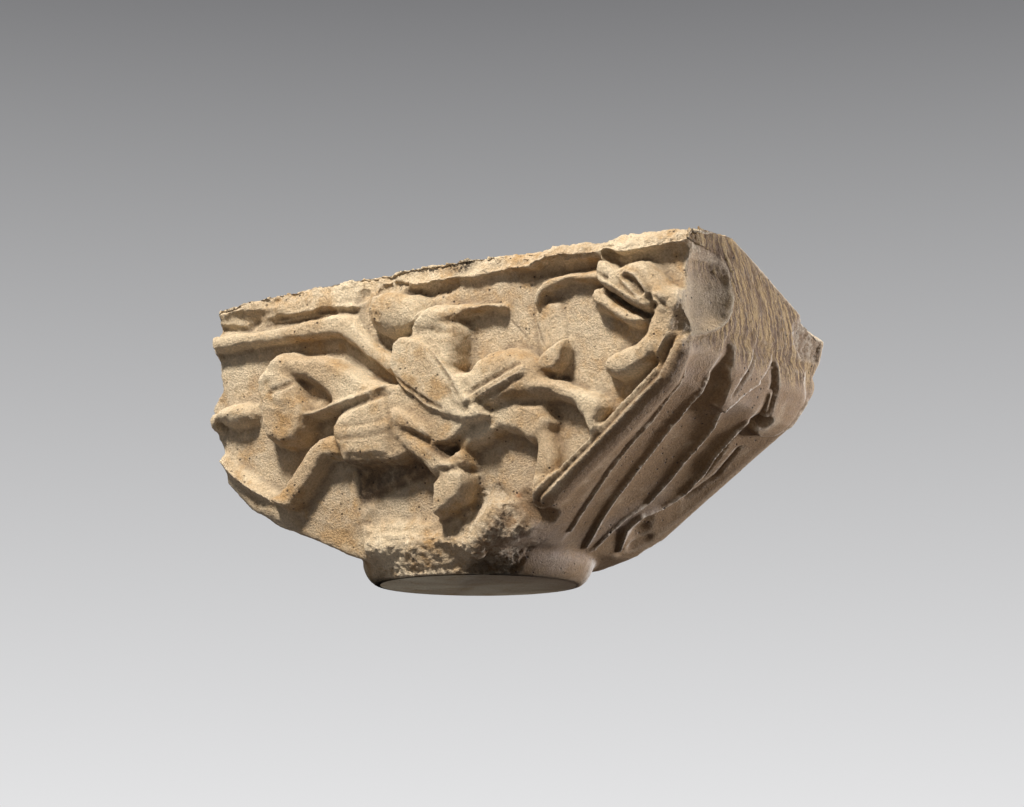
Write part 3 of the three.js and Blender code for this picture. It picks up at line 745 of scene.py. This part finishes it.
def wearAreas(clay):
    # where the stone is broken or worn, from 0 to 1, with wandering borders
    x, y, z = clay.points.T
    wander = 6 * noiseAt(clay.points, 15, 3)
    fromScar = np.linalg.norm(clay.points - scar["centre"], axis=1) - scar["radius"]
    onEnd = x > 200
    front = clay.facingFront()
    right, up = clay.normals[:, 0], clay.normals[:, 2]
    area = {
        "front": front,
        "sloping": clay.facingSlope() * (1 - front * 0.5),
        "inScar": falling(fromScar, 0, 3),
        "rimOfScar": falling(np.abs(fromScar - 4), 0, 8) * falling(z, 136, 150) * onEnd,
        "knob": spread(edgeDistance(y, z, knob) + wander * 0.4, -2, 3) * onEnd,
        "triangle": spread(edgeDistance(x, z, triangle) + wander * 0.5, -1, 3) * front,
        "brokenTop": spread(z + wander * 0.7, 188, 198) * falling(y, -90, -40),
        "leftEdge": spread(wander - x, 158, 168),
        "foot": falling(z - wander, 26, 34) * spread(x, -44, -34) * falling(x - wander, 80, 88) * front,
        "topFace": spread(up, 0.6, 0.95) * spread(z, 200, 209),
        "seat": falling(z, 0.6, 3) * falling(up, -0.9, -0.5),
    }
    area["endFace"] = spread(x, 212, 226) * spread(z, 124, 136) * spread(right, 0.72, 0.9)
    area["endFace"] *= (1 - area["inScar"]) * (1 - area["knob"])
    broken = np.maximum.reduce([area[name] * share for name, share in brokenShares.items()])
    area["broken"] = clay.averaged(np.clip(broken, 0, 1), 3)
    return area


# how deep the stone is worn, in millimetres: rows of noise and of scooped chips, then the uneven upper edge,
# the soft wear all over, and tool marks that run back and down across the end face
wear = {
    "broken": 0.9, "brokenNoise": [(0.8, 14, 11), (0.5, 6.5, 12), (0.4, 3.1, 13)],
    "chips": [(2.0, 24, 31), (0.7, 9, 32), (0.3, 3.8, 33)], "chipsFrom": 0.03,
    "fewerChips": {"endFace": 0.75, "foot": 0.4, "triangle": 0.4},
    "topEdge": 2.4, "topStart": 0.3, "topStretch": [1, 1, 1.8], "topNoise": (26, 14), "topFine": [(0.6, 11, 15)],
    "soft": 0.3, "softNoise": [(0.4, 30, 16), (0.22, 9, 17), (0.14, 3.2, 18)], "softLeast": 0.1,
    "lessSoft": {"sloping": 0.7, "inScar": 0.8},
    "tool": 0.3, "toolNoise": (0.42, 1.0, 19), "toolPatches": (1, 20, 20), "toolRamp": (-0.9, 0.2),
    "toolRun": (28, 42, 50.5), "toolSpacing": 1.9, "toolLength": 60, "toolDepth": 30,
}
boxGap = 0.02  # the visual stays this far inside the solid's box


def toolMarks(clay):
    x, y, z = clay.points.T
    back, down, length = wear["toolRun"]
    across, along = (y * down + z * back) / length, (y * back - z * down) / length
    stretched = np.stack([across / wear["toolSpacing"], along / wear["toolLength"], x / wear["toolDepth"]], 1)
    patches = spread(roughness(clay.points, [wear["toolPatches"]]), *wear["toolRamp"])
    return (wear["tool"] + roughness(stretched, [wear["toolNoise"]])) * patches


def wearDown(clay, area):
    # breaks go inwards only, so the block keeps its outer sizes, and the seat stays flat
    broken = area["broken"]
    bite = broken * (wear["broken"] + roughness(clay.points, wear["brokenNoise"]))
    chipped = np.nonzero(broken > wear["chipsFrom"])[0]
    chips = sum(depth * bowls(clay.points[chipped], size, seed) for depth, size, seed in wear["chips"])
    share = 1 - sum(part * area[name][chipped] for name, part in wear["fewerChips"].items())
    bite[chipped] += chips * broken[chipped] * share
    edge = wear["topStart"] + noiseAt(clay.points * wear["topStretch"], *wear["topNoise"])
    edge += roughness(clay.points, wear["topFine"])
    bite += area["brokenTop"] * wear["topEdge"] * np.clip(edge, 0, 3)
    softShare = 1 - sum(part * area[name] for name, part in wear["lessSoft"].items())
    soft = wear["soft"] + roughness(clay.points, wear["softNoise"])
    bite += soft * np.clip(softShare, wear["softLeast"], 1)
    bite += area["endFace"] * toolMarks(clay)
    bite *= 1 - area["seat"]
    clay.points -= clay.normals * bite[:, None]
    low, high = (np.array(corner) / mm for corner in cadBox)
    clay.points = np.clip(clay.points, low + boxGap, high - boxGap)
    clay.readNormals()


# what the marble reads: hollows hold dirt and painted shade, and crests are rubbed pale, each at a wide and a
# narrow scale
scales = {"wide": 34, "narrow": 6}
# the roll beside the panel is darker than the relief
roll = {"foot": (96, 44), "run": (112, 94), "beside": (5, 13), "x": (88, 100), "z": (134, 144)}


def brownAreas(clay, area):
    x, y, z = clay.points.T
    run, climb = roll["run"]
    beside = ((x - roll["foot"][0]) * climb - (z - roll["foot"][1]) * run) / np.hypot(climb, run)
    rollSide = spread(beside, *roll["beside"]) * spread(x, *roll["x"]) * falling(z, *roll["z"])
    sweep = spread(x - 22 - 1.15 * z, 0, 14) * falling(z, 42, 54)
    return np.maximum.reduce([area["sloping"] * spread(y, -94, -80), area["endFace"], rollSide, sweep])


def stoneMasks(clay, area):
    x, z, out = clay.panel()
    y = clay.points[:, 1]
    front, broken, sloping = (area[name] for name in ("front", "broken", "sloping"))
    # dirt and painted shade: the deeper a point lies below its neighbours, the darker it is coloured, like shade
    # in the recesses
    deep = {name: ((clay.averaged(clay.points, rounds) - clay.points) * clay.normals).sum(1)
            for name, rounds in scales.items()}
    hollow = np.clip(deep["wide"] / 1.8, 0, 1) * 0.8 + np.clip(deep["narrow"] / 0.5, 0, 1) * 0.45
    # painted shade under the horse's belly, and a painted cool highlight on the sides of the ribs that are turned
    # to the back
    # painted shade: the outline under the belly is darkened like a cast shadow
    paintedBellyShade = spread(edgeDistance(x, z, belly), -3, 3) * falling(out, 18, 24) * front
    # painted highlight: the rib sides turned to the back, towards the rim lamp, are coloured pale and cool
    paintedRimLight = sloping * spread(clay.normals[:, 1], 0.12, 0.5) * spread(y, -60, -40) * falling(y, 82, 98)
    dirtAndShadeShare = (1 - 0.8 * broken) * (1 - area["topFace"]) * (1 - 0.9 * paintedRimLight) * (1 - 0.45 * sloping)
    # the sides away from the viewer are plainer
    seen = [front * falling(y, -62, -50), sloping, area["endFace"], area["inScar"], broken]
    plain = 1 - np.clip(np.maximum.reduce(seen), 0, 1)
    rust = [falling(np.hypot(x - 97, z - 51), 0, 5) * 0.8, falling(np.hypot(x - 81, z - 48), 0, 4) * 0.7]
    soot = [falling(np.hypot((x - 48) * 0.5, z - 205), 2, 9), falling(np.hypot(x + 19, z - 190), 1.5, 3.5)]
    return {
        "paintedRimLight": paintedRimLight,
        "hollow": paintedBellyShade + hollow * dirtAndShadeShare,
        "crest": np.clip(-deep["narrow"] / 0.4, 0, 1) * 0.6 + np.clip(-deep["wide"] / 2.0, 0, 1) * 0.4,
        "broken": broken,
        "ground": front * falling(out, 1, 5) * spread(z, 25, 45) * (1 - area["brokenTop"]),
        "brown": brownAreas(clay, area),
        "combed": area["endFace"],
        "scarred": area["inScar"],
        "calm": np.maximum(sloping * spread(y, -100, -90) * (1 - broken), plain),
        "rust": np.maximum(*rust) * front,
        "soot": np.maximum(*soot) * front,
    }


area = wearAreas(clay)
wearDown(clay, area)
for name, values in stoneMasks(clay, area).items():
    layer = clay.mesh.attributes.new(name, "FLOAT", "POINT")
    layer.data.foreach_set("value", np.clip(values, 0, 1).astype(np.float32))
stone = inScene("weatheredCapital", clay.mesh)
print("weathered")


# aged marble: warm buff patina over a greyer body, dirt and painted shade in the hollows, painted shade under the
# horse's belly, a painted cool highlight on the rib sides turned to the back, pale rubbed crests, small dark
# pits.
# The eye reads it as stone by the slow change of tone and the fine crystalline grain.
marbleLook = {
    "light": "#DBC8A7", "mid": "#BEA582", "ochre": "#B28C58", "grey": "#B8AA94", "dirtAndShade": "#54412C",
    "pale": "#EBDDC2", "brownEnd": "#856845", "slate": "#8F8275", "rust": "#A8682C", "pit": "#33281C",
    "scar": "#A28C6A", "combPale": "#B0905C", "combDark": "#684A28", "paintedRimLight": "#CDC4B5",
}
# field sizes in millimetres, with detail and roughness; the comb is stretched along the tool marks
fields = {"broad": (60, 4, 0.55), "patch": (22, 6, 0.6), "mottle": (7, 6, 0.65), "grain": (1.5, 5, 0.7)}
combField = {"size": 2.4, "detail": 3, "roughness": 0.6,
             "across": (0.05, 0.832, 0.555), "along": (0.05, 0.0555, -0.0832)}
pits = {"spacing": 6, "size": (0.17, 0.09), "where": (0.46, 0.56), "share": 0.8, "depth": 1.0, "strength": 0.9}
# one colour over the next: its name, its share, the mask it keeps to, and the fields that break it up
stains = [
    ("ochre", 0.8, None, [("patch", 0.46, 0.68)]),
    ("grey", 0.45, "ground", [("mottle", 0.3, 0.62)]),
    ("brownEnd", 1.0, "brown", [("patch", -0.1, 0.5)]),
    ("slate", 0.4, "brown", [("patch", -0.1, 0.5), ("broad", 0.54, 0.74)]),
    ("pale", 0.34, "broken", [("mottle", 0.4, 0.6)]),
    ("combed", 1.0, "combed", []),
    ("scar", 0.6, "scarred", []),
    ("pale", 0.55, "crest", [("mottle", 0.25, 0.6)]),
    # painted highlight on the rib sides turned to the back
    ("paintedRimLight", 0.85, "paintedRimLight", [("mottle", 0.1, 0.45)]),
    # dirt and painted shade in the hollows and under the horse's belly
    ("dirtAndShade", 0.85, "hollow", [("mottle", 0.15, 0.6)]),
    ("rust", 1.0, "rust", [("mottle", 0.42, 0.6)]),
    ("pit", 1.0, "soot", [("grain", 0.4, 0.58)]),
]
surfaceLook = {"tone": (0.68, 1.24), "toneField": (0.32, 0.68), "grainDepth": 2.2, "calmGrain": 0.35,
               "combDepth": 1.5, "combStrength": 0.9, "gloss": (0.66, 0.88), "glossField": (0.3, 0.7),
               "ior": 1.49}


def marble():
    material = bpy.data.materials.new("aged buff marble")
    material.use_nodes = True
    tree = material.node_tree
    tree.nodes.clear()

    def spot():
        # new nodes stand in rows from left to right
        step = len(tree.nodes)
        return (-2400 + 200 * (step % 14), 900 - 320 * (step // 14))

    def noise(vector, size, detail, rough):
        return addNode(tree, "ShaderNodeTexNoise", spot(), {
            "Vector": vector, "Scale": 1 / (size * mm), "Detail": detail, "Roughness": rough}).outputs["Fac"]

    def band(value, low, high):
        return addNode(tree, "ShaderNodeMapRange", spot(), {"Value": value, "From Min": low, "From Max": high},
                       interpolation_type="SMOOTHSTEP").outputs["Result"]

    def ranged(value, source, target):
        return addNode(tree, "ShaderNodeMapRange", spot(), {
            "Value": value, "From Min": source[0], "From Max": source[1],
            "To Min": target[0], "To Max": target[1]}).outputs["Result"]

    def times(a, b):
        return addNode(tree, "ShaderNodeMath", spot(), {0: a, 1: b},
                       operation="MULTIPLY", use_clamp=True).outputs[0]

    def dotted(vector, run):
        return addNode(tree, "ShaderNodeVectorMath", spot(), {0: vector, 1: run},
                       operation="DOT_PRODUCT").outputs["Value"]

    def over(amount, below, colour):
        mix = addNode(tree, "ShaderNodeMix", spot(), data_type="RGBA")
        for name, value in (("Factor_Float", amount), ("A_Color", below), ("B_Color", colour)):
            socket = next(s for s in mix.inputs if s.identifier == name)
            if isinstance(value, bpy.types.NodeSocket):
                tree.links.new(value, socket)
            else:
                socket.default_value = value
        return next(s for s in mix.outputs if s.identifier == "Result_Color")

    def mask(name):
        return addNode(tree, "ShaderNodeAttribute", spot(), attribute_name=name).outputs["Fac"]

    def bump(height, depth, strength, **more):
        inputs = {"Height": height, "Distance": depth * mm, "Strength": strength}
        inputs.update({"Normal": more.pop("over")} if "over" in more else {})
        return addNode(tree, "ShaderNodeBump", spot(), inputs, **more).outputs["Normal"]

    place = addNode(tree, "ShaderNodeTexCoord", spot()).outputs["Object"]
    field = {name: noise(place, *values) for name, values in fields.items()}
    streaks = addNode(tree, "ShaderNodeCombineXYZ", spot(), {
        "X": dotted(place, combField["across"]), "Y": dotted(place, combField["along"])}).outputs["Vector"]
    comb = noise(streaks, combField["size"], combField["detail"], combField["roughness"])

    colour = {name: linear(code) for name, code in marbleLook.items()}
    colour["combed"] = over(band(comb, 0.4, 0.62), colour["combDark"], colour["combPale"])
    shade = over(band(field["broad"], 0.36, 0.64), colour["light"], colour["mid"])
    for name, share, where, patterns in stains:
        amount = share if where is None else times(mask(where), share)
        for pattern, low, high in patterns:
            amount = times(amount, band(field[pattern], low, high))
        shade = over(amount, shade, colour[name])
    cells = addNode(tree, "ShaderNodeTexVoronoi", spot(), {
        "Vector": place, "Scale": 1 / (pits["spacing"] * mm)}).outputs["Distance"]
    pitted = times(band(cells, *pits["size"]), band(field["patch"], *pits["where"]))
    shade = over(times(pitted, pits["share"]), shade, colour["pit"])
    value = ranged(field["grain"], surfaceLook["toneField"], surfaceLook["tone"])
    tone = addNode(tree, "ShaderNodeHueSaturation", spot(), {"Color": shade, "Value": value}).outputs["Color"]

    strength = ranged(mask("calm"), (0, 1), (1, surfaceLook["calmGrain"]))
    normal = bump(field["grain"], surfaceLook["grainDepth"], strength)
    normal = bump(pitted, pits["depth"], pits["strength"], over=normal, invert=True)
    normal = bump(times(comb, mask("combed")), surfaceLook["combDepth"], surfaceLook["combStrength"], over=normal)
    gloss = ranged(field["mottle"], surfaceLook["glossField"], surfaceLook["gloss"])
    surface = addNode(tree, "ShaderNodeBsdfPrincipled", spot(), {
        "Base Color": tone, "Roughness": gloss, "IOR": surfaceLook["ior"], "Normal": normal}).outputs["BSDF"]
    addNode(tree, "ShaderNodeOutputMaterial", spot(), {"Surface": surface})
    return material


stoneMaterial = marble()
stone.data.materials.clear()
stone.data.materials.append(stoneMaterial)

# small grain over the whole skin, deeper where the stone is broken and shallower on calm surfaces
weathering = {"Grain Size": 3.0 * mm, "Grain Depth": 0.7 * mm, "Broken Depth": 0.8 * mm, "Calm Share": 0.7,
              "Seat Height": 0.6 * mm, "Seed": 7.0, "Marble": stoneMaterial}


def weatheringTree():
    tree = bpy.data.node_groups.new("weathering", "GeometryNodeTree")
    tree.interface.new_socket("Geometry", in_out="INPUT", socket_type="NodeSocketGeometry")
    tree.interface.new_socket("Geometry", in_out="OUTPUT", socket_type="NodeSocketGeometry")
    for name in weathering:
        kind = "NodeSocketMaterial" if name == "Marble" else "NodeSocketFloat"
        tree.interface.new_socket(name, in_out="INPUT", socket_type=kind)
    given = addNode(tree, "NodeGroupInput", (-1200, 0)).outputs

    def worked(at, operation, a, b):
        return addNode(tree, "ShaderNodeMath", at, {0: a, 1: b}, operation=operation).outputs[0]

    def attribute(at, name):
        return addNode(tree, "GeometryNodeInputNamedAttribute", at, {"Name": name},
                       data_type="FLOAT").outputs["Attribute"]

    scale = worked((-1000, -200), "DIVIDE", 1.0, given["Grain Size"])
    grain = addNode(tree, "ShaderNodeTexNoise", (-800, -200), {
        "Scale": scale, "W": given["Seed"], "Detail": 3.0, "Roughness": 0.6},
                    noise_dimensions="4D").outputs["Fac"]
    extra = worked((-800, -500), "MULTIPLY", attribute((-1000, -500), "broken"), given["Broken Depth"])
    depth = worked((-600, -400), "ADD", extra, given["Grain Depth"])
    rest = worked((-800, -700), "MULTIPLY", attribute((-1000, -700), "calm"), given["Calm Share"])
    depth = worked((-400, -450), "MULTIPLY", depth, worked((-600, -650), "SUBTRACT", 1.0, rest))
    # between nothing and the full depth, always inwards
    sunk = addNode(tree, "ShaderNodeMapRange", (-600, -200), {
        "Value": grain, "From Min": 0.35, "From Max": 0.65, "To Min": -1.0, "To Max": 0.0}).outputs["Result"]
    amount = worked((-200, -200), "MULTIPLY", sunk, depth)
    normal = addNode(tree, "GeometryNodeInputNormal", (-400, 200)).outputs["Normal"]
    offset = addNode(tree, "ShaderNodeVectorMath", (0, -100), {0: normal, "Scale": amount},
                     operation="SCALE").outputs["Vector"]
    place = addNode(tree, "GeometryNodeInputPosition", (-400, 350)).outputs["Position"]
    height = addNode(tree, "ShaderNodeSeparateXYZ", (-200, 300), {"Vector": place}).outputs["Z"]
    # the seat stays flat
    above = addNode(tree, "FunctionNodeCompare", (0, 350), {"A": height, "B": given["Seat Height"]},
                    operation="GREATER_THAN").outputs["Result"]
    moved = addNode(tree, "GeometryNodeSetPosition", (200, 0), {
        "Geometry": given["Geometry"], "Selection": above, "Offset": offset}).outputs["Geometry"]
    real = addNode(tree, "GeometryNodeRealizeInstances", (400, 0), {"Geometry": moved}).outputs["Geometry"]
    done = addNode(tree, "GeometryNodeSetMaterial", (600, 0), {
        "Geometry": real, "Material": given["Marble"]}).outputs["Geometry"]
    addNode(tree, "NodeGroupOutput", (800, 0), {"Geometry": done})
    return tree


def setInputs(modifier, values):
    for item in modifier.node_group.interface.items_tree:
        if item.item_type == "SOCKET" and item.in_out == "INPUT" and item.name in values:
            modifier[item.identifier] = values[item.name]


def keptInBox(mesh):
    # thinning may push a point past the block's outer sizes
    flat = np.empty(len(mesh.vertices) * 3, np.float32)
    mesh.vertices.foreach_get("co", flat)
    low, high = (np.array(corner) for corner in cadBox)
    inside = np.clip(flat.reshape(-1, 3), low + boxGap * mm, high - boxGap * mm)
    mesh.vertices.foreach_set("co", inside.astype(np.float32).ravel())


grainy = stone.modifiers.new("weathering", "NODES")
grainy.node_group = weatheringTree()
setInputs(grainy, weathering)
thinning = stone.modifiers.new("thin out", "DECIMATE")
thinning.ratio = stoneFinish["triangles"] / (2 * len(clay.mesh.polygons))
thinned = bpy.data.meshes.new_from_object(stone.evaluated_get(bpy.context.evaluated_depsgraph_get()))
stone.modifiers.clear()
stone.data = thinned
keptInBox(thinned)
thinned.shade_smooth()
print("triangles", sum(len(p.vertices) - 2 for p in thinned.polygons))

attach(stone, "root")
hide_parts("capital")
